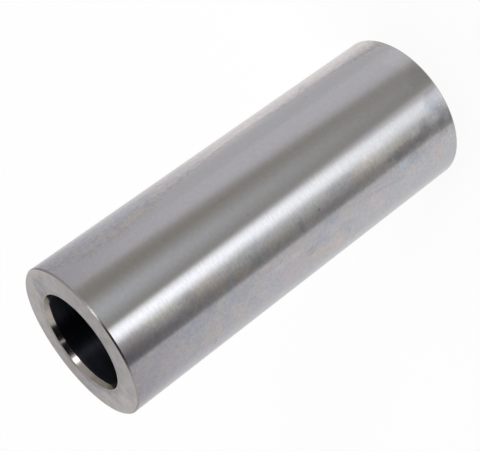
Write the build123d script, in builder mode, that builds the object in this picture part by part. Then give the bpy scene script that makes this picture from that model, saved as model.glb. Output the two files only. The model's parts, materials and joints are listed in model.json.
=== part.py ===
from build123d import *
import os

# Piston pin: the hollow, hardened and ground steel pin that joins a piston to its connecting rod.
# It stands on one end, with its axis along +Z and its origin at the centre of the lower end face.

# Driving dimensions, in millimetres
outer_diameter = 22.0
length = 58.0
wall = 4.1
bore_mouth_width = 0.3
bore_mouth_depth = 0.8
outer_edge_break = 0.2

# The bore follows the outside at the wall's thickness, which makes it 13.8 mm
bore_diameter = outer_diameter - 2 * wall

os.makedirs("parts", exist_ok=True)

# One turned tube: the ring of the end face, drawn out to the pin's length
with BuildPart() as piston_pin:
    with BuildSketch(Plane.XY) as end_ring:
        Circle(outer_diameter / 2)
        Circle(bore_diameter / 2, mode=Mode.SUBTRACT)
    extrude(amount=length)

    # The two bore mouths have the smallest circles, the two outer rims the largest
    circles_by_radius = piston_pin.edges().filter_by(GeomType.CIRCLE).group_by(SortBy.RADIUS)
    bore_mouths = circles_by_radius[0]
    outer_rims = circles_by_radius[-1]
    chamfer(outer_rims, length=outer_edge_break)

    # Each mouth opens out steeply: its width is measured on the end face, its depth down the bore
    end_faces = piston_pin.faces().filter_by(Axis.Z).sort_by(Axis.Z)
    for mouth, end_face in zip(bore_mouths.sort_by(Axis.Z), (end_faces[0], end_faces[-1])):
        chamfer(mouth, length=bore_mouth_width, length2=bore_mouth_depth, reference=end_face)

piston_pin.part.label = "piston_pin"
export_step(piston_pin.part, "parts/piston_pin.step")
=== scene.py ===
"""Looks of a piston pin: a hollow, ground steel pin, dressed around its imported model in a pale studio."""

import json
import logging
import math
from collections.abc import Callable
from dataclasses import dataclass
from enum import Enum

import bmesh
import bpy
from mathutils import Matrix, Vector

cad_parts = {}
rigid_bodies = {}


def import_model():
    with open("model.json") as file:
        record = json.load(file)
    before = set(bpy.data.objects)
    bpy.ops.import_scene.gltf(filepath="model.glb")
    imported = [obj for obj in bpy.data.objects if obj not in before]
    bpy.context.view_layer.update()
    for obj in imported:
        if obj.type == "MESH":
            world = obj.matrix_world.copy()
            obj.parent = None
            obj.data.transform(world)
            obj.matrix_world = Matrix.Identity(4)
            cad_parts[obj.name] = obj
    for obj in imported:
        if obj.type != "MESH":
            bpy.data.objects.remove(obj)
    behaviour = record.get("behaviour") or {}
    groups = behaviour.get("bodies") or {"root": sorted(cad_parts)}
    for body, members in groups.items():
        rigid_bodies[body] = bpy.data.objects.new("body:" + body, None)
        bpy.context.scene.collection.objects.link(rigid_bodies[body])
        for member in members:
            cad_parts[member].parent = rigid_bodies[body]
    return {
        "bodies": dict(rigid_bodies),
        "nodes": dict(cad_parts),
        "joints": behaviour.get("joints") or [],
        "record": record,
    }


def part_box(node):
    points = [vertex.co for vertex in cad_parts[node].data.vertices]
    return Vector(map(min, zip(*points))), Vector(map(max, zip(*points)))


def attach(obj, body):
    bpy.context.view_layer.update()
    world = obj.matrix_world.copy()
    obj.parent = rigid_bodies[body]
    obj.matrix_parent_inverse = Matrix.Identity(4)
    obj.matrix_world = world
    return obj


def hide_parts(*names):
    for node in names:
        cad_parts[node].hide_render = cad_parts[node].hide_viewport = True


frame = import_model()

Socket = bpy.types.NodeSocket
Source = float | tuple[float, ...] | Socket
log = logging.getLogger("piston_pin")

MM = 0.001
WHITE = (1.0, 1.0, 1.0)
NO_TINT = (*WHITE, 1.0)
QUARTER_TURN = 0.25
COLOUR = "NodeSocketColor"
VECTOR = "NodeSocketVector"
ORIGIN = (0.0, 0.0, 0.0)


class Zone(Enum):
    """A surface of the pin with its own finish. The value is its material's place on the piece."""

    OUTSIDE = 0
    RIM = 1
    END_FACE = 2
    MOUTH = 3
    BORE = 4


class Wall(Enum):
    """What a turning line runs along: up a round wall, or outwards over a flat face."""

    ROUND = "Height"
    FLAT = "Radius"


@dataclass(frozen=True)
class Port:
    """One named socket of a node group, with its kind and its value at the start."""

    name: str
    kind: str = "NodeSocketFloat"
    value: float | tuple[float, ...] = 0.0


class Bench:
    """A node tree, with short ways to add nodes to it and to wire them."""

    def __init__(self, tree: bpy.types.NodeTree) -> None:
        """Keeps the tree that the nodes go to.

        Args:
            tree: a material's, a world's or a group's node tree.
        """
        self.tree = tree

    def wire(self, node: bpy.types.Node, values: dict[str | int, Source]) -> None:
        """Sets or links a node's inputs.

        Args:
            node: the node whose inputs are wired.
            values: for each input's name or place, a plain value or the socket that feeds it.
        """
        for name, value in values.items():
            if isinstance(value, Socket):
                self.tree.links.new(value, node.inputs[name])
            else:
                node.inputs[name].default_value = value

    def add(
        self, kind: str, values: dict[str | int, Source] | None = None, **settings: object
    ) -> bpy.types.Node:
        """Adds one node.

        Args:
            kind: the node's type, such as ShaderNodeMath.
            values: its inputs, as wire takes them.
            **settings: its own properties, such as operation.

        Returns:
            The new node.
        """
        node = self.tree.nodes.new(kind)
        for name, value in settings.items():
            setattr(node, name, value)
        self.wire(node, values or {})
        return node

    def math(self, operation: str, *values: Source, clamp: bool = False) -> Socket:
        """Adds a math node and returns its result.

        Args:
            operation: the math node's operation.
            *values: its operands, in order.
            clamp: whether the result is held between 0 and 1.

        Returns:
            The socket with the result.
        """
        node = self.add("ShaderNodeMath", dict(enumerate(values)), operation=operation, use_clamp=clamp)
        return node.outputs[0]

    def step(self, value: Source, at: Source, softness: Source) -> Socket:
        """Adds a smooth step.

        Args:
            value: what is compared.
            at: where the step is half way up.
            softness: how far from there it starts and ends.

        Returns:
            A socket that goes from 0, well below the step, to 1, well above it.
        """
        values = {
            "Value": value,
            "From Min": self.math("SUBTRACT", at, softness),
            "From Max": self.math("ADD", at, softness),
        }
        return self.add("ShaderNodeMapRange", values, interpolation_type="SMOOTHSTEP").outputs["Result"]

    def mix(self, factor: Source, low: Source, high: Source, blend: str = "MIX") -> Socket:
        """Mixes two colours.

        Args:
            factor: how much of the second colour shows.
            low: the first colour.
            high: the second colour.
            blend: how they are put together, such as MIX or MULTIPLY.

        Returns:
            The socket with the mixed colour.
        """
        node = self.add("ShaderNodeMix", data_type="RGBA", blend_type=blend)
        factor_in = next(s for s in node.inputs if s.identifier == "Factor_Float")
        low_in = next(s for s in node.inputs if s.identifier == "A_Color")
        high_in = next(s for s in node.inputs if s.identifier == "B_Color")
        for socket, value in ((factor_in, factor), (low_in, low), (high_in, high)):
            if isinstance(value, Socket):
                self.tree.links.new(value, socket)
            elif isinstance(value, tuple):
                socket.default_value = (*value[:3], 1.0)
            else:
                socket.default_value = value
        return next(s for s in node.outputs if s.identifier == "Result_Color")

    def grey(self, level: Socket) -> Socket:
        """Returns the grey colour of a level."""
        return self.add("ShaderNodeCombineColor", {0: level, 1: level, 2: level}).outputs[0]

    def noise(self, place: Socket, size: Source, detail: float = 3.0, distortion: float = 0.0) -> Socket:
        """Adds noise.

        Args:
            place: the point, in mm.
            size: how large its clouds are, in mm.
            detail: how many finer layers it has.
            distortion: how far the clouds are drawn into each other.

        Returns:
            The socket with the noise, about 0.5 in the middle.
        """
        values = {
            "Vector": place,
            "Scale": self.math("DIVIDE", 1.0, size),
            "Detail": detail,
            "Roughness": 0.6,
            "Distortion": distortion,
        }
        return self.add("ShaderNodeTexNoise", values).outputs["Fac"]

    def blots(self, place: Socket, size: float, detail: float, at: float, softness: float) -> Socket:
        """Parts noise into light and dark blots.

        Args:
            place: the point, in mm.
            size: how large the noise's clouds are, in mm.
            detail: how many finer layers it has.
            at: the level of the noise where a blot ends.
            softness: how far from that level its border reaches.

        Returns:
            A socket that is 1 inside the blots and 0 between them.
        """
        return self.step(self.noise(place, size, detail=detail), at, softness)


class Effect:
    """A shader node group that is built once and placed wherever it is needed."""

    title: str = ""
    inputs: tuple[Port, ...] = ()
    outputs: tuple[Port, ...] = ()

    def wire(self, bench: Bench, given: dict[str, Socket]) -> dict[str, Socket]:
        """Builds what is inside the group.

        Args:
            bench: the group's own tree.
            given: the group's inputs by name.

        Returns:
            What feeds each of the group's outputs, by name.
        """
        raise NotImplementedError

    def group(self) -> bpy.types.NodeTree:
        """Builds the group the first time, and finds it again later.

        Returns:
            The group's tree.
        """
        found = bpy.data.node_groups.get(self.title)
        if found is not None:
            return found
        tree = bpy.data.node_groups.new(self.title, "ShaderNodeTree")
        for in_out, ports in (("INPUT", self.inputs), ("OUTPUT", self.outputs)):
            for port in ports:
                socket = tree.interface.new_socket(name=port.name, in_out=in_out, socket_type=port.kind)
                if in_out == "INPUT":
                    socket.default_value = port.value
        bench = Bench(tree)
        entry = bench.add("NodeGroupInput")
        result = self.wire(bench, {port.name: entry.outputs[port.name] for port in self.inputs})
        bench.add("NodeGroupOutput", dict(result))
        return tree

    def place(self, bench: Bench, **values: Source) -> dict[str, Socket]:
        """Places the group in a tree.

        Args:
            bench: the tree that it goes to.
            **values: its inputs, with underscores for the spaces in their names.

        Returns:
            The placed group's outputs by name.
        """
        node = bench.add("ShaderNodeGroup", node_tree=self.group())
        bench.wire(node, {name.replace("_", " "): value for name, value in values.items()})
        return {port.name: node.outputs[port.name] for port in self.outputs}


class PinCoordinates(Effect):
    """Where a point of the pin lies: its turn about the axis, its height, its radius and its place."""

    title = "Pin coordinates"
    outputs = (
        Port("Turn"),
        Port("Height"),
        Port("Radius"),
        Port("Round", VECTOR, ORIGIN),
        Port("Place", VECTOR, ORIGIN),
    )

    def wire(self, bench: Bench, given: dict[str, Socket]) -> dict[str, Socket]:
        """Turn is in degrees from -Y towards -X, Round is a unit circle, and the others are in mm.

        Args:
            bench: the group's own tree.
            given: the group's inputs by name.

        Returns:
            The five outputs by name.
        """
        point = bench.add("ShaderNodeTexCoord").outputs["Object"]
        scaled = bench.add("ShaderNodeVectorMath", {0: point, "Scale": 1.0 / MM}, operation="SCALE")
        place = scaled.outputs[0]
        x, y, height = bench.add("ShaderNodeSeparateXYZ", {0: place}).outputs
        squares = bench.math("ADD", bench.math("POWER", x, 2.0), bench.math("POWER", y, 2.0))
        radius = bench.math("SQRT", squares)
        back_x = bench.math("MULTIPLY", x, -1.0)
        back_y = bench.math("MULTIPLY", y, -1.0)
        turn = bench.math("DEGREES", bench.math("ARCTAN2", back_x, back_y))
        circle = {0: bench.math("DIVIDE", x, radius), 1: bench.math("DIVIDE", y, radius)}
        unit = bench.add("ShaderNodeCombineXYZ", circle).outputs[0]
        return {"Turn": turn, "Height": height, "Radius": radius, "Round": unit, "Place": place}


class TurningLines(Effect):
    """Fine lines that run round the axis, as a grinding wheel or a lathe leaves them."""

    title = "Turning lines"
    inputs = (
        Port("Round", VECTOR, ORIGIN),
        Port("Along"),
        Port("Pitch", value=0.2),
        Port("Breaks", value=2.0),
    )
    outputs = (Port("Lines"),)
    DETAIL = 3.0
    SHARPNESS = 0.65

    def wire(self, bench: Bench, given: dict[str, Socket]) -> dict[str, Socket]:
        """The lines are noise that is drawn out round the axis. Breaks says how soon a line ends.

        Args:
            bench: the group's own tree.
            given: the group's inputs by name.

        Returns:
            Lines, about 0.5 between the lines' lights and darks.
        """
        scaled = {0: given["Round"], "Scale": given["Breaks"]}
        ring = bench.add("ShaderNodeVectorMath", scaled, operation="SCALE").outputs[0]
        axes = bench.add("ShaderNodeSeparateXYZ", {0: ring}).outputs
        rows = bench.math("DIVIDE", given["Along"], given["Pitch"])
        place = bench.add("ShaderNodeCombineXYZ", {0: axes[0], 1: axes[1], 2: rows}).outputs[0]
        values = {"Vector": place, "Scale": 1.0, "Detail": self.DETAIL, "Roughness": self.SHARPNESS}
        return {"Lines": bench.add("ShaderNodeTexNoise", values).outputs["Fac"]}


class OilFilm(Effect):
    """A thin dried film of oil, in warm and cool clouds with a fine mottle."""

    title = "Oil film"
    inputs = (
        Port("Place", VECTOR, ORIGIN),
        Port("Cloud Size", value=4.0),
        Port("Cover", value=0.5),
        Port("Mottle", value=0.05),
        Port("Mottle Size", value=0.5),
    )
    outputs = (Port("Tint", COLOUR, NO_TINT), Port("Mask"))
    WARM = (0.15, 0.06, -0.08)
    ROSE = (0.11, 0.045, 0.085)
    ROSE_SIZE = 0.6
    PATCH_SIZE = 2.2
    PATCH_SOFTNESS = 0.16
    THICK = 2.0

    def wire(self, bench: Bench, given: dict[str, Socket]) -> dict[str, Socket]:
        """Lays warm and rosy clouds over each other. The patches are where the film is thick.

        Args:
            bench: the group's own tree.
            given: the group's inputs by name.

        Returns:
            Tint, which multiplies the metal's colour, and Mask, which is 1 where the film is thick.
        """
        place, size = given["Place"], given["Cloud Size"]
        swings = []
        for noise in (
            bench.noise(place, size, detail=5.0, distortion=0.4),
            bench.noise(place, bench.math("MULTIPLY", size, self.ROSE_SIZE), detail=4.0),
            bench.noise(place, given["Mottle Size"], detail=4.0),
        ):
            swings.append(bench.math("MULTIPLY_ADD", noise, 2.0, -1.0))
        warm, rose, fine = swings
        patches = bench.noise(place, bench.math("MULTIPLY", size, self.PATCH_SIZE), distortion=0.6)
        bare = bench.math("SUBTRACT", 1.0, given["Cover"])
        mask = bench.step(patches, bare, self.PATCH_SOFTNESS)
        depth = bench.math("MULTIPLY", given["Mottle"], bench.math("MULTIPLY_ADD", mask, self.THICK, 1.0))
        level = bench.math("MULTIPLY_ADD", fine, depth, 1.0)
        channels = {}
        for channel, (warmth, blush) in enumerate(zip(self.WARM, self.ROSE)):
            tinted = bench.math("MULTIPLY", rose, blush)
            tinted = bench.math("MULTIPLY_ADD", warm, warmth, tinted)
            channels[channel] = bench.math("MULTIPLY_ADD", tinted, mask, level)
        return {"Tint": bench.add("ShaderNodeCombineColor", channels).outputs[0], "Mask": mask}


class OldFilm(Effect):
    """The older, thicker film along one side of the outside, with its wavering edge."""

    title = "Old film"
    inputs = (Port("Turn"), Port("Share"), Port("Place", VECTOR, ORIGIN))
    outputs = (Port("Tint", COLOUR, NO_TINT), Port("Mask"))
    EDGE = (
        (0.0, -58.0), (0.03, -53.0), (0.06, -49.0), (0.11, -45.5), (0.17, -46.0), (0.23, -47.4),
        (0.29, -50.5), (0.33, -53.6), (0.39, -56.0), (0.44, -58.6), (0.52, -61.0), (0.58, -62.3),
        (0.62, -60.5), (0.66, -58.8), (0.72, -57.6), (0.77, -58.6), (0.82, -58.0), (0.88, -56.0),
        (0.93, -53.6), (0.98, -51.7), (1.0, -51.0),
    )
    LOWEST = -65.0
    REACH = 20.0
    WAVER_SIZE = 1.4
    WAVER_TURN = 9.0
    EDGE_SOFTNESS = 2.2
    FAR_FROM = 0.42
    FAR_SOFTNESS = 0.15
    NEAR_TINT = (0.895, 0.9, 0.925)
    FAR_TINT = (1.09, 1.065, 1.07)
    INNER_EDGE = -55.5
    INNER_WAVER = 5.0
    INNER_GAP = 3.0
    INNER_SOFTNESS = 1.2
    SMEAR_WIDTH = 4.5
    OUTLINE_WIDTH = 2.4
    OUTLINE_BREAK = 0.7
    CELLS = (1.03, 1.0, 0.95)
    OUTLINE = (0.87, 0.865, 0.89)
    WARM_SPECK = (1.08, 1.06, 1.03)
    COOL_SPECK = (0.9, 0.915, 0.94)
    LIGHT_GRAIN = (1.09, 1.05, 0.98)
    DARK_GRAIN = (0.84, 0.845, 0.87)

    def wire(self, bench: Bench, given: dict[str, Socket]) -> dict[str, Socket]:
        """Share runs from 0 at the top end to 1 at the foot. The film lies on the turns below its edge.

        Args:
            bench: the group's own tree.
            given: the group's inputs by name.

        Returns:
            Tint, which multiplies the metal's colour, and Mask, which is 1 on the film.
        """
        curve = bench.add("ShaderNodeFloatCurve", {"Value": given["Share"]})
        points = curve.mapping.curves[0].points
        while len(points) < len(self.EDGE):
            points.new(0.5, 0.5)
        for point, (share, at) in zip(points, self.EDGE):
            point.location = (share, (at - self.LOWEST) / self.REACH)
        curve.mapping.update()
        edge = bench.math("MULTIPLY_ADD", curve.outputs["Value"], self.REACH, self.LOWEST)
        place, turn = given["Place"], given["Turn"]
        waver = bench.math("SUBTRACT", bench.noise(place, self.WAVER_SIZE, detail=5.0), 0.5)
        edge = bench.math("MULTIPLY_ADD", waver, self.WAVER_TURN, edge)
        mask = bench.math("SUBTRACT", 1.0, bench.step(turn, edge, self.EDGE_SOFTNESS))
        # The film is darker and bluer towards the top end and lighter towards the foot.
        far = bench.step(given["Share"], self.FAR_FROM, self.FAR_SOFTNESS)
        tint = bench.mix(far, self.NEAR_TINT, self.FAR_TINT)
        specks = bench.blots(place, size=0.6, detail=4.0, at=0.5, softness=0.17)
        tint = bench.mix(1.0, tint, bench.mix(specks, self.COOL_SPECK, self.WARM_SPECK), "MULTIPLY")
        broken = bench.blots(place, size=1.2, detail=3.0, at=0.46, softness=0.12)
        grains = bench.blots(place, size=0.34, detail=2.0, at=0.5, softness=0.14)
        grain = bench.mix(grains, self.DARK_GRAIN, self.LIGHT_GRAIN)
        inner = bench.math("MULTIPLY_ADD", waver, self.INNER_WAVER, self.INNER_EDGE)
        ahead = bench.step(edge, bench.math("ADD", inner, self.INNER_GAP), self.INNER_GAP / 2)
        inside = bench.math("MULTIPLY", self.line(bench, turn, inner, self.SMEAR_WIDTH), ahead)
        smear = bench.math("MAXIMUM", self.line(bench, turn, edge, self.SMEAR_WIDTH), inside)
        smear = bench.math("MULTIPLY", smear, broken)
        between = bench.math("MULTIPLY", bench.step(turn, inner, self.INNER_SOFTNESS), mask)
        tint = bench.mix(bench.math("MULTIPLY", between, broken), tint, self.CELLS)
        tint = bench.mix(mask, WHITE, tint)
        tint = bench.mix(smear, tint, grain, "MULTIPLY")
        outline = bench.math("MULTIPLY", self.line(bench, turn, edge, self.OUTLINE_WIDTH), far)
        whole = bench.math("MULTIPLY_ADD", broken, self.OUTLINE_BREAK, 1.0 - self.OUTLINE_BREAK)
        outline = bench.math("MULTIPLY", outline, whole)
        return {"Tint": bench.mix(outline, tint, self.OUTLINE, "MULTIPLY"), "Mask": mask}

    def line(self, bench: Bench, turn: Socket, at: Socket, width: float) -> Socket:
        """Draws a line along an edge of the film.

        Args:
            bench: the group's tree.
            turn: the turn of the point.
            at: the turn of the line there.
            width: how many degrees the line reaches to each side.

        Returns:
            A socket that is 1 on the line and 0 beyond its reach.
        """
        away = bench.math("ABSOLUTE", bench.math("SUBTRACT", turn, at))
        return bench.math("MULTIPLY_ADD", away, -1.0 / width, 1.0, clamp=True)


class StainPatch(Effect):
    """One stain with ragged edges, by its place on a surface of the pin."""

    title = "Stain patch"
    inputs = (
        Port("Colour", COLOUR, NO_TINT),
        Port("Turn"),
        Port("Along"),
        Port("Ragged"),
        Port("At Turn"),
        Port("At Along"),
        Port("Half Turn", value=4.0),
        Port("Half Along", value=2.0),
        Port("Slant"),
        Port("Tint", COLOUR, NO_TINT),
        Port("Depth", value=0.5),
    )
    outputs = (Port("Colour", COLOUR, NO_TINT),)
    BORDER = 1.05
    BORDER_SOFTNESS = 0.36

    def wire(self, bench: Bench, given: dict[str, Socket]) -> dict[str, Socket]:
        """Slant is how many degrees the stain's middle turns for each mm along the surface.

        Args:
            bench: the group's own tree.
            given: the group's inputs by name.

        Returns:
            Colour, with the stain over what came in.
        """
        up = bench.math("SUBTRACT", given["Along"], given["At Along"])
        aside = bench.math("SUBTRACT", given["Turn"], given["At Turn"])
        lean = bench.math("MULTIPLY", up, given["Slant"])
        across = bench.math("DIVIDE", bench.math("SUBTRACT", aside, lean), given["Half Turn"])
        along = bench.math("DIVIDE", up, given["Half Along"])
        squares = bench.math("ADD", bench.math("POWER", across, 2.0), bench.math("POWER", along, 2.0))
        away = bench.math("ADD", bench.math("SQRT", squares), given["Ragged"])
        inside = bench.math("SUBTRACT", 1.0, bench.step(away, self.BORDER, self.BORDER_SOFTNESS))
        share = bench.math("MULTIPLY", inside, given["Depth"])
        stained = bench.mix(1.0, given["Colour"], given["Tint"], "MULTIPLY")
        return {"Colour": bench.mix(share, given["Colour"], stained)}


class Sector(Effect):
    """A strip of the pin between two turns."""

    title = "Sector"
    inputs = (Port("Turn"), Port("From", value=0.0), Port("To", value=30.0), Port("Softness", value=4.0))
    outputs = (Port("Mask"),)

    def wire(self, bench: Bench, given: dict[str, Socket]) -> dict[str, Socket]:
        """All the strip's sizes are in degrees.

        Args:
            bench: the group's own tree.
            given: the group's inputs by name.

        Returns:
            Mask, which is 1 inside the strip.
        """
        rise = bench.step(given["Turn"], given["From"], given["Softness"])
        fall = bench.step(given["Turn"], given["To"], given["Softness"])
        return {"Mask": bench.math("MULTIPLY", rise, bench.math("SUBTRACT", 1.0, fall))}


class PanelMask(Effect):
    """Where one panel of the studio stands, seen from the pin."""

    title = "Panel mask"
    inputs = (
        Port("Turn"),
        Port("Elevation"),
        Port("From"),
        Port("To"),
        Port("From Lean"),
        Port("To Lean"),
        Port("From Softness"),
        Port("To Softness"),
        Port("Low"),
        Port("High"),
        Port("Low Softness"),
        Port("High Softness"),
    )
    outputs = (Port("Mask"),)
    LEVEL = -25.0

    def wire(self, bench: Bench, given: dict[str, Socket]) -> dict[str, Socket]:
        """From and To are where its edges are at an elevation of -25 degrees, and the leans tilt them.

        Args:
            bench: the group's own tree.
            given: the group's inputs by name.

        Returns:
            Mask, which is 1 where the panel is seen.
        """
        middle = bench.math("MULTIPLY", bench.math("ADD", given["From"], given["To"]), 0.5)
        behind = bench.math("SUBTRACT", middle, 180.0)
        turn = bench.math("WRAP", given["Turn"], bench.math("ADD", middle, 180.0), behind)
        above = bench.math("SUBTRACT", given["Elevation"], self.LEVEL)
        sides = []
        for side in ("From", "To"):
            at = bench.math("MULTIPLY_ADD", above, given[f"{side} Lean"], given[side])
            sides.append(bench.step(turn, at, given[f"{side} Softness"]))
        low = bench.step(given["Elevation"], given["Low"], given["Low Softness"])
        high = bench.step(given["Elevation"], given["High"], given["High Softness"])
        across = bench.math("MULTIPLY", sides[0], bench.math("SUBTRACT", 1.0, sides[1]))
        upright = bench.math("MULTIPLY", low, bench.math("SUBTRACT", 1.0, high))
        return {"Mask": bench.math("MULTIPLY", across, upright)}


class StainTint(Enum):
    """The colours that dried oil and handling leave on the steel, as they multiply its own."""

    TAN = (1.09, 1.03, 0.96)
    OLIVE = (1.04, 1.03, 0.92)
    AMBER = (1.1, 1.02, 0.925)
    BLUE = (0.885, 0.925, 0.98)
    ROSE = (1.03, 0.965, 0.98)
    SKY = (1.03, 1.1, 1.18)
    VIOLET = (0.87, 0.84, 0.885)
    PALE = (1.2, 1.2, 1.19)
    DARK = (0.76, 0.76, 0.78)


@dataclass(frozen=True)
class Stain:
    """One stain: the middle's turn and its place along the surface, and half its size each way.

    Turns are in degrees. Places along the surface are heights or radii, in mm.
    """

    tint: StainTint
    turn: float
    along: float
    half_turn: float
    half_along: float
    depth: float
    slant: float = 0.0


OUTSIDE_STAINS = (
    Stain(StainTint.DARK, 19.0, 56.4, 5.0, 1.7, 0.3),
    Stain(StainTint.TAN, 20.0, 56.3, 3.5, 1.8, 0.6),
    Stain(StainTint.PALE, 18.0, 50.8, 5.0, 2.6, 0.5),
    Stain(StainTint.OLIVE, 17.0, 51.3, 4.0, 3.2, 0.7),
    Stain(StainTint.DARK, 18.5, 46.9, 4.5, 0.9, 0.45),
    Stain(StainTint.AMBER, 20.0, 43.8, 6.0, 3.2, 0.6),
    Stain(StainTint.PALE, 24.5, 38.9, 4.0, 1.4, 0.4),
    Stain(StainTint.AMBER, 25.5, 38.9, 3.2, 1.5, 0.9),
    Stain(StainTint.BLUE, 25.0, 36.4, 5.0, 0.8, 0.5),
    Stain(StainTint.DARK, 13.5, 36.8, 3.5, 2.2, 0.3),
    Stain(StainTint.OLIVE, 23.0, 31.5, 4.0, 2.8, 0.9),
    Stain(StainTint.DARK, 28.5, 33.5, 1.6, 3.4, 0.25),
    Stain(StainTint.DARK, 25.5, 28.5, 4.6, 0.35, 0.6),
    Stain(StainTint.TAN, 25.0, 27.3, 3.6, 0.8, 0.6),
    Stain(StainTint.DARK, 28.0, 22.5, 2.8, 2.6, 0.4),
    Stain(StainTint.DARK, 18.0, 20.8, 3.5, 2.4, 0.3),
    Stain(StainTint.TAN, 21.0, 15.6, 6.5, 2.8, 0.8),
    Stain(StainTint.PALE, 17.5, 13.2, 5.0, 3.6, 0.55),
    Stain(StainTint.OLIVE, 20.0, 10.0, 3.0, 3.0, 0.6),
    Stain(StainTint.DARK, 26.5, 9.5, 3.8, 2.6, 0.85),
    Stain(StainTint.DARK, 25.5, 5.4, 3.6, 1.6, 0.7),
    Stain(StainTint.PALE, 21.5, 6.8, 2.2, 0.8, 0.5),
    Stain(StainTint.DARK, 19.0, 5.0, 3.4, 0.7, 0.5),
    Stain(StainTint.AMBER, 25.0, 3.6, 3.4, 0.4, 0.7),
    Stain(StainTint.PALE, 21.0, 3.0, 3.0, 0.8, 0.7),
    Stain(StainTint.BLUE, 12.0, 2.6, 4.0, 1.4, 0.7),
    Stain(StainTint.DARK, 9.0, 1.6, 7.0, 1.8, 0.7),
    Stain(StainTint.DARK, 25.5, 2.2, 2.6, 0.5, 0.6),
    Stain(StainTint.DARK, 19.5, 1.5, 4.0, 0.9, 0.5),
    Stain(StainTint.PALE, 25.0, 1.0, 3.0, 0.5, 0.6),
    Stain(StainTint.DARK, 34.0, 2.2, 3.0, 0.9, 0.5),
    Stain(StainTint.PALE, 31.5, 4.6, 3.0, 1.4, 0.45),
    Stain(StainTint.DARK, -10.0, 1.5, 6.0, 1.4, 0.4),
    Stain(StainTint.PALE, -30.0, 1.4, 8.0, 1.6, 0.3),
    Stain(StainTint.PALE, -50.0, 1.4, 8.0, 1.5, 0.25),
    Stain(StainTint.VIOLET, 52.0, 56.8, 12.0, 2.2, 0.25),
    Stain(StainTint.VIOLET, 42.0, 52.5, 7.0, 2.6, 0.15),
    Stain(StainTint.BLUE, 37.5, 46.4, 4.5, 2.4, 0.55),
    Stain(StainTint.DARK, 33.5, 44.6, 2.0, 1.0, 0.35),
    Stain(StainTint.SKY, 34.5, 41.8, 3.6, 1.4, 0.3),
    Stain(StainTint.BLUE, 40.0, 40.0, 5.0, 2.0, 0.8),
    Stain(StainTint.BLUE, 47.0, 42.8, 5.0, 0.9, 0.4, slant=-4.0),
    Stain(StainTint.TAN, 56.0, 44.6, 7.0, 1.1, 0.8, slant=-4.0),
    Stain(StainTint.ROSE, 58.0, 47.2, 8.0, 0.9, 0.6, slant=-4.0),
    Stain(StainTint.BLUE, 55.0, 38.2, 4.0, 1.0, 0.5, slant=-3.0),
    Stain(StainTint.TAN, 34.5, 32.8, 2.4, 4.6, 0.7),
    Stain(StainTint.PALE, 41.5, 32.4, 2.2, 2.6, 0.35),
    Stain(StainTint.ROSE, 49.0, 31.0, 8.0, 3.0, 0.8),
    Stain(StainTint.BLUE, 46.0, 26.8, 6.0, 2.2, 0.75),
    Stain(StainTint.DARK, 47.0, 28.4, 4.0, 0.9, 0.3),
    Stain(StainTint.TAN, 57.0, 25.6, 7.0, 2.4, 0.95, slant=-1.5),
    Stain(StainTint.BLUE, 51.0, 21.6, 6.0, 1.2, 1.0, slant=-3.0),
    Stain(StainTint.ROSE, 60.0, 19.6, 6.0, 1.0, 0.7, slant=-3.0),
    Stain(StainTint.BLUE, 35.5, 23.9, 3.2, 1.1, 0.8),
    Stain(StainTint.TAN, 36.0, 20.2, 2.6, 1.8, 0.7),
    Stain(StainTint.VIOLET, 41.0, 15.0, 1.4, 4.6, 0.4, slant=-0.9),
    Stain(StainTint.SKY, 35.5, 10.3, 2.8, 1.1, 0.8),
    Stain(StainTint.BLUE, 38.0, 8.3, 5.0, 1.5, 0.8),
    Stain(StainTint.ROSE, 48.0, 4.2, 9.0, 1.3, 0.6, slant=-3.0),
    Stain(StainTint.TAN, 44.0, 3.8, 5.0, 0.8, 0.5, slant=-3.0),
    Stain(StainTint.SKY, 37.0, 1.8, 5.0, 1.0, 0.3),
    Stain(StainTint.DARK, 78.0, 42.0, 7.0, 13.0, 0.22),
    Stain(StainTint.BLUE, -63.0, 53.4, 5.0, 2.5, 0.5),
    Stain(StainTint.BLUE, -64.0, 43.5, 5.0, 3.2, 0.5),
    Stain(StainTint.AMBER, -51.5, 45.0, 3.0, 2.6, 0.3),
    Stain(StainTint.OLIVE, -52.0, 42.3, 2.0, 1.6, 0.3),
    Stain(StainTint.ROSE, -68.0, 38.3, 7.0, 2.4, 0.4),
    Stain(StainTint.OLIVE, -60.0, 36.5, 2.0, 0.7, 0.6),
    Stain(StainTint.PALE, -64.5, 26.5, 4.0, 4.2, 0.4),
    Stain(StainTint.DARK, -66.5, 13.1, 3.5, 0.8, 0.5, slant=2.0),
    Stain(StainTint.AMBER, -57.0, 1.5, 6.0, 1.2, 0.3),
    Stain(StainTint.DARK, -73.0, 2.0, 3.5, 1.2, 0.4),
    Stain(StainTint.DARK, -50.5, 15.1, 0.9, 0.14, 0.6),
    Stain(StainTint.DARK, 23.5, 25.2, 1.1, 0.18, 1.0),
    Stain(StainTint.DARK, 65.0, 45.2, 1.6, 0.22, 0.7),
    Stain(StainTint.DARK, -2.0, 34.2, 1.0, 0.18, 0.5),
)

# Patches on the end face, by turn and radius. Most dark ones lie close to the bore's mouth, so the face
# darkens towards it.
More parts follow.
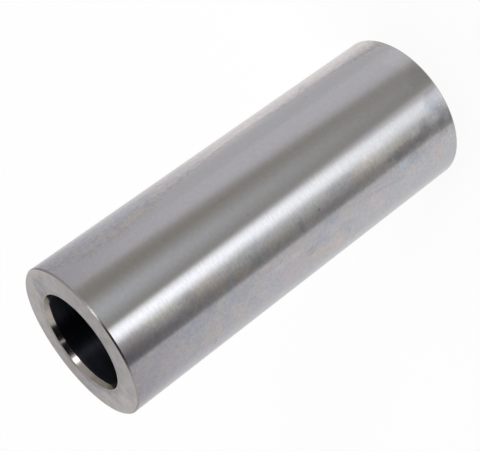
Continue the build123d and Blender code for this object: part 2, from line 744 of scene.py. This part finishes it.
FACE_STAINS = (
    Stain(StainTint.DARK, -112.0, 7.6, 11.0, 0.7, 0.5),
    Stain(StainTint.DARK, -99.0, 7.9, 8.0, 0.8, 0.6),
    Stain(StainTint.DARK, -88.0, 8.0, 13.0, 1.3, 0.95),
    # A ring that darkens the face all round the bore's mouth.
    Stain(StainTint.DARK, 0.0, 7.25, 2000.0, 0.55, 0.45),
    Stain(StainTint.DARK, -80.0, 9.6, 14.0, 0.7, 0.35),
    Stain(StainTint.DARK, -76.0, 8.8, 9.0, 1.3, 0.45),
    Stain(StainTint.DARK, -58.0, 8.2, 9.0, 1.2, 0.3),
    Stain(StainTint.DARK, -33.0, 9.2, 10.0, 1.3, 0.35),
    Stain(StainTint.PALE, -152.0, 9.5, 22.0, 1.4, 0.5),
    Stain(StainTint.DARK, -168.0, 7.4, 16.0, 0.5, 0.9),
    Stain(StainTint.DARK, 180.0, 7.5, 14.0, 0.6, 0.9),
    Stain(StainTint.DARK, 47.0, 8.2, 9.0, 0.9, 0.5),
    Stain(StainTint.DARK, 62.0, 9.8, 9.0, 0.9, 0.35),
    Stain(StainTint.DARK, 86.0, 7.5, 16.0, 0.8, 0.6),
    Stain(StainTint.DARK, 152.0, 9.2, 14.0, 1.2, 0.45),
    Stain(StainTint.DARK, 105.0, 8.0, 7.0, 1.1, 0.8),
    Stain(StainTint.DARK, 130.0, 7.5, 32.0, 0.7, 0.85),
    Stain(StainTint.DARK, 140.0, 9.8, 12.0, 0.9, 0.3),
    Stain(StainTint.DARK, 152.0, 7.7, 18.0, 0.6, 0.6),
    Stain(StainTint.TAN, 175.0, 8.8, 20.0, 1.2, 0.4),
)


@dataclass(frozen=True)
class Metal:
    """A bare steel surface: its colour, its gloss, the lines that its making left, and its film of oil."""

    name: str
    colour: tuple[float, float, float]
    roughness: float
    wall: Wall
    pitch: float
    breaks: float
    line_shade: float
    line_gloss: float
    line_depth: float
    film_cover: float
    film_size: float
    film_gloss: float = 0.03
    mottle: float = 0.06
    mottle_size: float = 0.5
    anisotropy: float = 0.0
    stains: tuple[Stain, ...] = ()
    stain_grain: float = 1.7
    stain_raggedness: float = 3.1

    def film_place(self, bench: Bench, at: dict[str, Socket]) -> Source:
        """Returns how much of the film may lie at each place."""
        return self.film_cover

    def shade(self, bench: Bench, at: dict[str, Socket], colour: Socket) -> Socket:
        """Adds the marks that only this surface has.

        Args:
            bench: the material's tree.
            at: where the point lies.
            colour: the colour so far.

        Returns:
            The colour with the stains.
        """
        ragged = bench.noise(at["Place"], self.stain_grain, detail=6.0, distortion=0.7)
        ragged = bench.math("MULTIPLY", bench.math("SUBTRACT", ragged, 0.5), self.stain_raggedness)
        for stain in self.stains:
            given = {"Colour": colour, "Turn": at["Turn"], "Along": at[self.wall.value], "Ragged": ragged}
            values = {
                "At Turn": stain.turn,
                "At Along": stain.along,
                "Half Turn": stain.half_turn,
                "Half Along": stain.half_along,
                "Slant": stain.slant,
                "Tint": (*stain.tint.value, 1.0),
                "Depth": stain.depth,
            }
            colour = StainPatch().place(bench, **given, **values)["Colour"]
        return colour

    def material(self) -> bpy.types.Material:
        """Builds the finish.

        Returns:
            The material, with one Principled shader.
        """
        material = bpy.data.materials.new(self.name)
        material.use_nodes = True
        bench = Bench(material.node_tree)
        shader = material.node_tree.nodes["Principled BSDF"]
        at = PinCoordinates().place(bench)
        along = at[self.wall.value]
        grain = {"Pitch": self.pitch, "Breaks": self.breaks}
        lines = TurningLines().place(bench, Round=at["Round"], Along=along, **grain)["Lines"]
        swing = bench.math("MULTIPLY", bench.math("SUBTRACT", lines, 0.5), 2.0)
        cover = self.film_place(bench, at)
        layer = {"Cloud Size": self.film_size, "Mottle": self.mottle, "Mottle Size": self.mottle_size}
        film = OilFilm().place(bench, Place=at["Place"], Cover=cover, **layer)
        brightness = bench.math("MULTIPLY_ADD", swing, self.line_shade, 1.0)
        colour = bench.mix(1.0, self.colour, bench.grey(brightness), "MULTIPLY")
        colour = bench.mix(1.0, colour, film["Tint"], "MULTIPLY")
        colour = self.shade(bench, at, colour)
        gloss = bench.math("MULTIPLY_ADD", swing, self.line_gloss, self.roughness)
        gloss = bench.math("MULTIPLY_ADD", film["Mask"], self.film_gloss, gloss, clamp=True)
        relief = {"Strength": 1.0, "Distance": self.line_depth * MM, "Height": lines}
        bump = bench.add("ShaderNodeBump", relief).outputs["Normal"]
        values = {"Base Color": colour, "Metallic": 1.0, "Roughness": gloss, "Normal": bump}
        if self.anisotropy:
            tangent = bench.add("ShaderNodeTangent", direction_type="RADIAL", axis="Z").outputs["Tangent"]
            values |= {"Anisotropic": self.anisotropy, "Anisotropic Rotation": QUARTER_TURN}
            values["Tangent"] = tangent
        bench.wire(shader, values)
        return material


@dataclass(frozen=True)
class GroundSteel(Metal):
    """The ground outside, with its old film, its clean strip and its grinding streaks, which are a painted
    highlight ripple on the highlight's strip.

    The length is in mm, and the ends of the strips are turns in degrees.
    """

    length: float = 0.0
    clean_from: float = -54.0
    clean_to: float = 14.0
    clean_softness: float = 5.0
    clean_share: float = 0.7
    streaks_from: float = 3.0
    streaks_to: float = 34.0
    streaks_softness: float = 3.0
    streak_pitch: float = 0.2
    streak_breaks: float = 9.0
    streak_shade: float = 0.24
    streak_shade_beyond: float = 0.048

    def film_place(self, bench: Bench, at: dict[str, Socket]) -> Source:
        """Leaves one strip nearly clean.

        Args:
            bench: the material's tree.
            at: where the point lies.

        Returns:
            The film's cover.
        """
        strip = {"From": self.clean_from, "To": self.clean_to, "Softness": self.clean_softness}
        clean = Sector().place(bench, Turn=at["Turn"], **strip)["Mask"]
        return bench.math("MULTIPLY_ADD", clean, -self.clean_share, self.film_cover)

    def shade(self, bench: Bench, at: dict[str, Socket], colour: Socket) -> Socket:
        """Adds the old film, the streaks with their painted highlight ripple, and the stains.

        Args:
            bench: the material's tree.
            at: where the point lies.
            colour: the colour so far.

        Returns:
            The colour with all three.
        """
        share = bench.math("MULTIPLY_ADD", at["Height"], -1.0 / self.length, 1.0)
        old = OldFilm().place(bench, Turn=at["Turn"], Share=share, Place=at["Place"])
        colour = bench.mix(1.0, colour, old["Tint"], "MULTIPLY")
        grain = {"Pitch": self.streak_pitch, "Breaks": self.streak_breaks}
        lines = TurningLines().place(bench, Round=at["Round"], Along=at["Height"], **grain)["Lines"]
        # Painted highlight ripple: the grinding streaks are drawn far stronger on the turns where the strip
        # light's highlight falls.
        strip = {"From": self.streaks_from, "To": self.streaks_to, "Softness": self.streaks_softness}
        highlight_ripple_strip = Sector().place(bench, Turn=at["Turn"], **strip)["Mask"]
        depth = bench.math("MULTIPLY_ADD", highlight_ripple_strip, self.streak_shade, self.streak_shade_beyond)
        level = bench.math("MULTIPLY_ADD", bench.math("SUBTRACT", lines, 0.5), depth, 1.0)
        colour = bench.mix(1.0, colour, bench.grey(level), "MULTIPLY")
        return super().shade(bench, at, colour)


@dataclass(frozen=True)
class Corner:
    """A corner of the pin's section, in mm, and the finish of the side that follows it.

    Kept is the share of its arc that keeps the finish of the side before.
    """

    radius: float
    height: float
    rounding: float
    side: Zone
    kept: float


@dataclass(frozen=True)
class SectionPoint:
    """A point of the rounded section, in mm, with its outward direction and the finish that follows it."""

    radius: float
    height: float
    out_radius: float
    out_height: float
    zone: Zone


@dataclass
class PistonPin:
    """The pin itself, turned from one section. All its sizes are in mm."""

    outer_radius: float
    length: float
    bore_radius: float
    mouth_depth: float
    edge_break: float
    mouth_width: float = 0.3
    edge_rounding: float = 0.12
    mouth_rounding: float = 0.05
    bore_rounding: float = 0.8
    bright_share: float = 0.25
    segments: int = 256
    arc_steps: int = 8
    bake_bore: float = 0.2
    bake_gap: float = 0.006

    @classmethod
    def from_frame(cls, packed: dict) -> "PistonPin":
        """Reads the pin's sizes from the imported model.


        Returns:
            The pin, with the sizes of its CAD node and its mounts.
        """
        low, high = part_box("piston_pin")
        mounts = {mount["name"]: mount["dims"] for mount in packed["record"]["mounts"]}
        length = (high.z - low.z) / MM
        return cls(
            outer_radius=mounts["outside"]["r_mm"],
            length=length,
            bore_radius=mounts["bore"]["r_mm"],
            mouth_depth=(length - mounts["bore"]["length_mm"]) / 2,
            edge_break=(length - mounts["outside"]["length_mm"]) / 2,
        )

    def corners(self) -> list[Corner]:
        """Sets out the section, once round, from the foot of the outside.

        Returns:
            Its eight corners.
        """
        rim = self.outer_radius - self.edge_break
        mouth = self.bore_radius + self.mouth_width
        top = self.length
        edge, soft, inner = self.edge_rounding, self.mouth_rounding, self.bore_rounding
        bright = self.bright_share
        return [
            Corner(self.outer_radius, self.edge_break, edge, Zone.OUTSIDE, 1.0),
            Corner(self.outer_radius, top - self.edge_break, edge, Zone.RIM, 0.0),
            Corner(rim, top, edge, Zone.END_FACE, 1.0),
            Corner(mouth, top, soft, Zone.MOUTH, 0.0),
            Corner(self.bore_radius, top - self.mouth_depth, inner, Zone.BORE, bright),
            Corner(self.bore_radius, self.mouth_depth, inner, Zone.MOUTH, 1.0 - bright),
            Corner(mouth, 0.0, soft, Zone.END_FACE, 1.0),
            Corner(rim, 0.0, edge, Zone.RIM, 0.0),
        ]

    def section(self) -> list[SectionPoint]:
        """Rounds the section's corners.

        Returns:
            The points of the closed section, with arcs at the corners.
        """
        corners = self.corners()
        points = []
        for index, corner in enumerate(corners):
            here = Vector((corner.radius, corner.height))
            before, after = corners[index - 1], corners[(index + 1) % len(corners)]
            came = (here - Vector((before.radius, before.height))).normalized()
            goes = (Vector((after.radius, after.height)) - here).normalized()
            out_came, out_goes = Vector((came.y, -came.x)), Vector((goes.y, -goes.x))
            turn = out_came.angle_signed(out_goes)
            reach = corner.rounding * math.tan(abs(turn) / 2)
            centre = here - came * reach - out_came * corner.rounding
            for step in range(self.arc_steps + 1):
                outward = out_came.copy()
                outward.rotate(Matrix.Rotation(-turn * step / self.arc_steps, 2))
                place = centre + outward * corner.rounding
                zone = before.side if step < corner.kept * self.arc_steps else corner.side
                points.append(SectionPoint(place.x, place.y, outward.x, outward.y, zone))
        return points

    def build(self) -> bpy.types.Object:
        """Turns the section about the axis, with the seam of the bake's map at the back.

        Returns:
            The pin's object, with its mesh in metres.
        """
        section = self.section()
        spots = self.bake_spots(section)
        turns = [math.pi / 2 + math.tau * k / self.segments for k in range(self.segments)]
        net = bmesh.new()
        bake = net.loops.layers.uv.new("OFBake")
        rings = []
        for point in section:
            places = [(point.radius * math.cos(t), point.radius * math.sin(t), point.height) for t in turns]
            rings.append([net.verts.new(Vector(place) * MM) for place in places])
        for index, point in enumerate(section):
            ring, following = rings[index], rings[(index + 1) % len(rings)]
            for k in range(self.segments):
                beside = (k + 1) % self.segments
                face = net.faces.new((ring[k], ring[beside], following[beside], following[k]))
                face.material_index = point.zone.value
                face.smooth = True
                for loop, spot in zip(face.loops, spots(index, k)):
                    loop[bake].uv = spot
        mesh = bpy.data.meshes.new("ground_pin")
        net.to_mesh(mesh)
        net.free()
        outward = [
            (point.out_radius * math.cos(t), point.out_radius * math.sin(t), point.out_height)
            for point in section
            for t in turns
        ]
        mesh.normals_split_custom_set_from_vertices(outward)
        pin = bpy.data.objects.new("ground_pin", mesh)
        bpy.context.scene.collection.objects.link(pin)
        return pin

    def bake_spots(self, section: list[SectionPoint]) -> Callable[[int, int], list[tuple[float, float]]]:
        """Unrolls the surfaces into bands of the bake's map, the bore's with its length across.

        Args:
            section: the section's points.

        Returns:
            A function that gives the four corners' spots of a face, by its place in the section and round it.
        """
        count = len(section)
        lengths = []
        for index, point in enumerate(section):
            after = section[(index + 1) % count]
            lengths.append(math.hypot(after.radius - point.radius, after.height - point.height))
        zones = [point.zone for point in section]
        bore_length = sum(length for length, zone in zip(lengths, zones) if zone is Zone.BORE)
        bands = sum(zones[index] is not zones[index - 1] for index in range(1, count)) + 1
        room = 1.0 - self.bake_bore - self.bake_gap * (bands + 1)
        scale = room / (sum(lengths) - bore_length)
        level, across, starts = self.bake_gap, 0.0, []
        for index, (length, zone) in enumerate(zip(lengths, zones)):
            if index and zone is not zones[index - 1]:
                level += self.bake_gap + (self.bake_bore if zones[index - 1] is Zone.BORE else 0.0)
            starts.append((level, across / bore_length))
            if zone is Zone.BORE:
                across += length
            else:
                level += length * scale

        def spots(index: int, k: int) -> list[tuple[float, float]]:
            """Finds one face on the map.

            Args:
                index: its place in the section.
                k: its step round the axis.

            Returns:
                The spots of its four corners.
            """
            low, high = k / self.segments, (k + 1) / self.segments
            start, begun = starts[index]
            if zones[index] is Zone.BORE:
                ended = begun + lengths[index] / bore_length
                floor, ceiling = start + low * self.bake_bore, start + high * self.bake_bore
                return [(begun, floor), (begun, ceiling), (ended, ceiling), (ended, floor)]
            end = start + lengths[index] * scale
            return [(low, start), (high, start), (high, end), (low, end)]

        return spots

    def dress(self, pin: bpy.types.Object) -> None:
        """Gives each zone its finish.

        Args:
            pin: the object that build made.
        """
        finishes = {
            Zone.OUTSIDE: GroundSteel(
                name="ground_outside", colour=(0.57, 0.57, 0.575), roughness=0.17, wall=Wall.ROUND,
                pitch=0.3, breaks=2.0, line_shade=0.03, line_gloss=0.025, line_depth=0.0008,
                film_cover=0.62, film_size=3.0, film_gloss=0.015, anisotropy=0.8,
                mottle=0.075, mottle_size=0.5, length=self.length, stains=OUTSIDE_STAINS,
            ),
            Zone.RIM: Metal(
                name="edge_break", colour=(0.62, 0.6, 0.58), roughness=0.25, wall=Wall.ROUND,
                pitch=0.05, breaks=3.0, line_shade=0.08, line_gloss=0.05, line_depth=0.0004,
                film_cover=0.3, film_size=3.0,
            ),
            Zone.END_FACE: Metal(
                name="faced_end", colour=(0.495, 0.476, 0.463), roughness=0.34, wall=Wall.FLAT,
                pitch=0.12, breaks=3.0, line_shade=0.06, line_gloss=0.04, line_depth=0.0005,
                film_cover=0.6, film_size=1.8, mottle=0.11, mottle_size=1.2, anisotropy=0.6,
                stains=FACE_STAINS,
            ),
            Zone.MOUTH: Metal(
                name="bore_mouth", colour=(0.58, 0.545, 0.495), roughness=0.14, wall=Wall.ROUND,
                pitch=0.08, breaks=4.0, line_shade=0.1, line_gloss=0.03, line_depth=0.0003,
                film_cover=0.5, film_size=1.6, mottle=0.1, mottle_size=0.9,
            ),
            Zone.BORE: Metal(
                name="drawn_bore", colour=(0.064, 0.07, 0.088), roughness=0.42, wall=Wall.ROUND,
                pitch=0.3, breaks=1.0, line_shade=0.6, line_gloss=0.1, line_depth=0.002,
                film_cover=0.4, film_size=3.0, anisotropy=0.9,
            ),
        }
        for zone in Zone:
            pin.data.materials.append(finishes[zone].material())


@dataclass(frozen=True)
class Panel:
    """One panel of the studio, by where it is seen from the pin, in degrees, and its light."""

    name: str
    start: float
    end: float
    low: float
    high: float
    light: tuple[float, float, float]
    leans: tuple[float, float] = (0.0, 0.0)
    side_softness: tuple[float, float] = (6.0, 6.0)
    level_softness: tuple[float, float] = (6.0, 6.0)

    def over(self, bench: Bench, turn: Socket, elevation: Socket, behind: Source) -> Socket:
        """Sets the panel before what is behind it.

        Args:
            bench: the world's tree.
            turn: the turn of the direction looked in.
            elevation: its elevation.
            behind: the colour behind the panel.

        Returns:
            The colour with the panel in it.
        """
        values = {
            "Turn": turn,
            "Elevation": elevation,
            "From": self.start,
            "To": self.end,
            "Low": self.low,
            "High": self.high,
        }
        pairs = {"Lean": self.leans, "Softness": self.side_softness}
        for what, (start, end) in pairs.items():
            values |= {f"From {what}": start, f"To {what}": end}
        values |= dict(zip(("Low Softness", "High Softness"), self.level_softness))
        return bench.mix(PanelMask().place(bench, **values)["Mask"], behind, self.light)


@dataclass(frozen=True)
class Tent:
    """The pale tent round the pin, with its dark gap at the camera, its cards and its lights."""

    walls: tuple[float, float, float] = (0.305, 0.277, 0.316)
    all_round: tuple[float, float] = (-200.0, 200.0)
    nadir: float = -200.0
    zenith: float = 200.0

    def panels(self) -> tuple[Panel, ...]:
        """Sets out the tent.

        Returns:
            Its panels, from the back to the front.
        """
        foot, top = self.nadir, self.zenith
        return (
            Panel("table", *self.all_round, foot, -17.3, (0.712, 0.699, 0.727), level_softness=(6, 3)),
            Panel("table's lit side", 80, 122, foot, -25, (0.8, 0.79, 0.81), side_softness=(10, 10)),
            Panel("table's dim side", -115, -86, foot, -19, (0.635, 0.625, 0.645), side_softness=(8, 5)),
            Panel("left wall", -130, -70, -4, 32, (0.31, 0.3, 0.295), side_softness=(8, 8)),
            Panel("left wall's lit end", -72, -31, 2, 44, (0.43, 0.42, 0.42), side_softness=(10, 4)),
            Panel("left roof", -140, -50, 30, top, (0.38, 0.37, 0.375), side_softness=(12, 6)),
            Panel("right roof", 93, 165, 24, 60, (0.5, 0.49, 0.49), side_softness=(6, 8)),
            Panel(
                "roof gap", -11, 66, -1, 84, (0.008, 0.008, 0.01),
                side_softness=(3, 3), level_softness=(3, 6),
            ),
            Panel("right roof gap", 60, 90, 27, 84, (0.02, 0.02, 0.02), side_softness=(4, 4)),
            Panel("right wall", 68, 128, 0, 25, (0.47, 0.455, 0.44), side_softness=(6, 6)),
            Panel("right wall's lit end", 66, 106, 1, 25, (0.62, 0.605, 0.585), side_softness=(6, 8)),
            Panel("far right wall", 126, 165, -5, 32, (0.5, 0.49, 0.49), side_softness=(6, 8)),
            Panel(
                "back wall", 137.8, 208.4, foot, 45, (0.793, 0.788, 0.793),
                leans=(2.0, -0.14), side_softness=(34, 16.7), level_softness=(6, 12),
            ),
            Panel("back wall's top", 165, 208, 0, 45, (0.79, 0.78, 0.785), side_softness=(8, 12)),
            Panel(
                "lit side", 182, 236.6, foot, -24.5, (0.98, 0.945, 0.926),
                leans=(0, 0.34), side_softness=(22.6, 11.4), level_softness=(6, 14),
            ),
            Panel(
                "camera gap", -55.15, 5.6, foot, 5, (0.33, 0.309, 0.277),
                leans=(-1.25, 0.62), side_softness=(2, 1.5),
            ),
            Panel(
                "pale streak", -30.9, -3.7, -27.1, 0, (0.65, 0.664, 0.696),
                side_softness=(13.4, 14), level_softness=(11.8, 6),
            ),
            Panel(
                "strip light's skirt", 9, 49.4, foot, 5, (0.81, 0.806, 0.811),
                leans=(0, -1.95), side_softness=(2.2, 4),
            ),
            Panel(
                "strip light", 9.8, 26.9, -32, 5, (1.797, 1.825, 1.905),
                leans=(0.15, -0.09), side_softness=(6.4, 7.8), level_softness=(12, 6),
            ),
            Panel("dark card", 42, 66.3, foot, 5, (0.337, 0.326, 0.322), side_softness=(15.1, 1.5)),
            Panel(
                "dark card's top", 40.65, 64.5, -18.8, 5, (0.031, 0.027, 0.05),
                side_softness=(15.4, 2), level_softness=(2, 6),
            ),
            Panel(
                "window", -29.5, -19, 16, 32, (3.6, 3.6, 3.7),
                side_softness=(4, 4), level_softness=(4, 4),
            ),
            Panel(
                "small window", 22.5, 25.5, 19, 27, (1.15, 1.05, 1.12),
                side_softness=(2.5, 2.5), level_softness=(3, 3),
            ),
            Panel(
                "roof lamp", -50, -26, 62, 76, (2.5, 2.5, 2.5),
                side_softness=(2, 2), level_softness=(2, 2),
            ),
        )

    def build(self) -> None:
        """Builds the world. The camera sees its background plain white, and all else sees the tent."""
        world = bpy.data.worlds.new("tent")
        world.use_nodes = True
        bpy.context.scene.world = world
        bench = Bench(world.node_tree)
        direction = bench.add("ShaderNodeTexCoord").outputs["Generated"]
        x, y, z = bench.add("ShaderNodeSeparateXYZ", {0: direction}).outputs
        back_x, back_y = bench.math("MULTIPLY", x, -1.0), bench.math("MULTIPLY", y, -1.0)
        turn = bench.math("DEGREES", bench.math("ARCTAN2", back_x, back_y))
        elevation = bench.math("DEGREES", bench.math("ARCSINE", z))
        colour = self.walls
        for panel in self.panels():
            colour = panel.over(bench, turn, elevation, colour)
        seen = bench.add("ShaderNodeLightPath").outputs["Is Camera Ray"]
        colour = bench.mix(seen, colour, WHITE)
        bench.wire(world.node_tree.nodes["Background"], {"Color": colour, "Strength": 1.0})


@dataclass(frozen=True)
class Floor:
    """The plain white floor, which keeps the pin's soft shadow. Its size and its drop are in metres."""

    size: float = 6.0
    drop: float = 0.00002
    albedo: float = 0.3
    glow: float = 0.887

    def build(self) -> bpy.types.Object:
        """Lays the floor just under the pin.

        Returns:
            The floor's object.
        """
        mesh = bpy.data.meshes.new("floor")
        net = bmesh.new()
        bmesh.ops.create_grid(net, x_segments=1, y_segments=1, size=self.size / 2)
        bmesh.ops.translate(net, vec=(0.0, 0.0, -self.drop), verts=net.verts)
        net.to_mesh(mesh)
        net.free()
        floor = bpy.data.objects.new("floor", mesh)
        bpy.context.scene.collection.objects.link(floor)
        floor.visible_glossy = False
        mesh.materials.append(self.material())
        return floor

    def material(self) -> bpy.types.Material:
        """Builds the floor's white, part lit by the studio and part its own.

        Returns:
            The floor's material.
        """
        material = bpy.data.materials.new("white_floor")
        material.use_nodes = True
        bench = Bench(material.node_tree)
        shader = material.node_tree.nodes["Principled BSDF"]
        path = bench.add("ShaderNodeLightPath").outputs
        seen = bench.math("MAXIMUM", path["Is Camera Ray"], path["Is Glossy Ray"])
        seen = bench.math("MAXIMUM", seen, path["Is Transmission Ray"])
        values = {
            "Base Color": (self.albedo, self.albedo, self.albedo, 1.0),
            "Roughness": 1.0,
            "Specular IOR Level": 0.0,
            "Emission Color": (*WHITE, 1.0),
            "Emission Strength": bench.math("MULTIPLY", seen, self.glow),
        }
        bench.wire(shader, values)
        return material


@dataclass(frozen=True)
class StudioCamera:
    """The camera at the photograph's viewing angle. Lengths are in mm and the roll is in degrees."""

    focal_length: float = 108.058
    sensor_width: float = 36.0
    place: tuple[float, float, float] = (0.0, -172.758, 111.599)
    aim: tuple[float, float, float] = (-0.042, 0.0, 30.771)
    roll: float = 126.325
    nearest: float = 10.0
    farthest: float = 20000.0

    def build(self) -> bpy.types.Object:
        """Aims the camera and rolls it.

        Returns:
            The scene's camera.
        """
        data = bpy.data.cameras.new("camera")
        data.lens = self.focal_length
        data.sensor_width = self.sensor_width
        data.clip_start = self.nearest * MM
        data.clip_end = self.farthest * MM
        camera = bpy.data.objects.new("camera", data)
        bpy.context.scene.collection.objects.link(camera)
        place, aim = Vector(self.place) * MM, Vector(self.aim) * MM
        level = (aim - place).to_track_quat("-Z", "Y").to_matrix().to_4x4()
        turn = Matrix.Rotation(-math.radians(self.roll), 4, "Z")
        camera.matrix_world = Matrix.Translation(place) @ level @ turn
        bpy.context.scene.camera = camera
        return camera


def main() -> None:
    """Builds the pin and its studio in order."""
    logging.basicConfig(level=logging.INFO, format="%(name)s: %(message)s")
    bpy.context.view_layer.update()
    bpy.context.scene.view_settings.view_transform = "Standard"

    pin = PistonPin.from_frame(frame)
    piece = pin.build()
    pin.dress(piece)
    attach(piece, "root")
    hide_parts("piston_pin")
    log.info("%s: %d faces, %.1f mm long", piece.name, len(piece.data.polygons), pin.length)

    floor = Floor().build()
    log.info("%s is laid", floor.name)
    Tent().build()
    camera = StudioCamera().build()
    log.info("%s is set", camera.name)


if __name__ == "__main__":
    main()
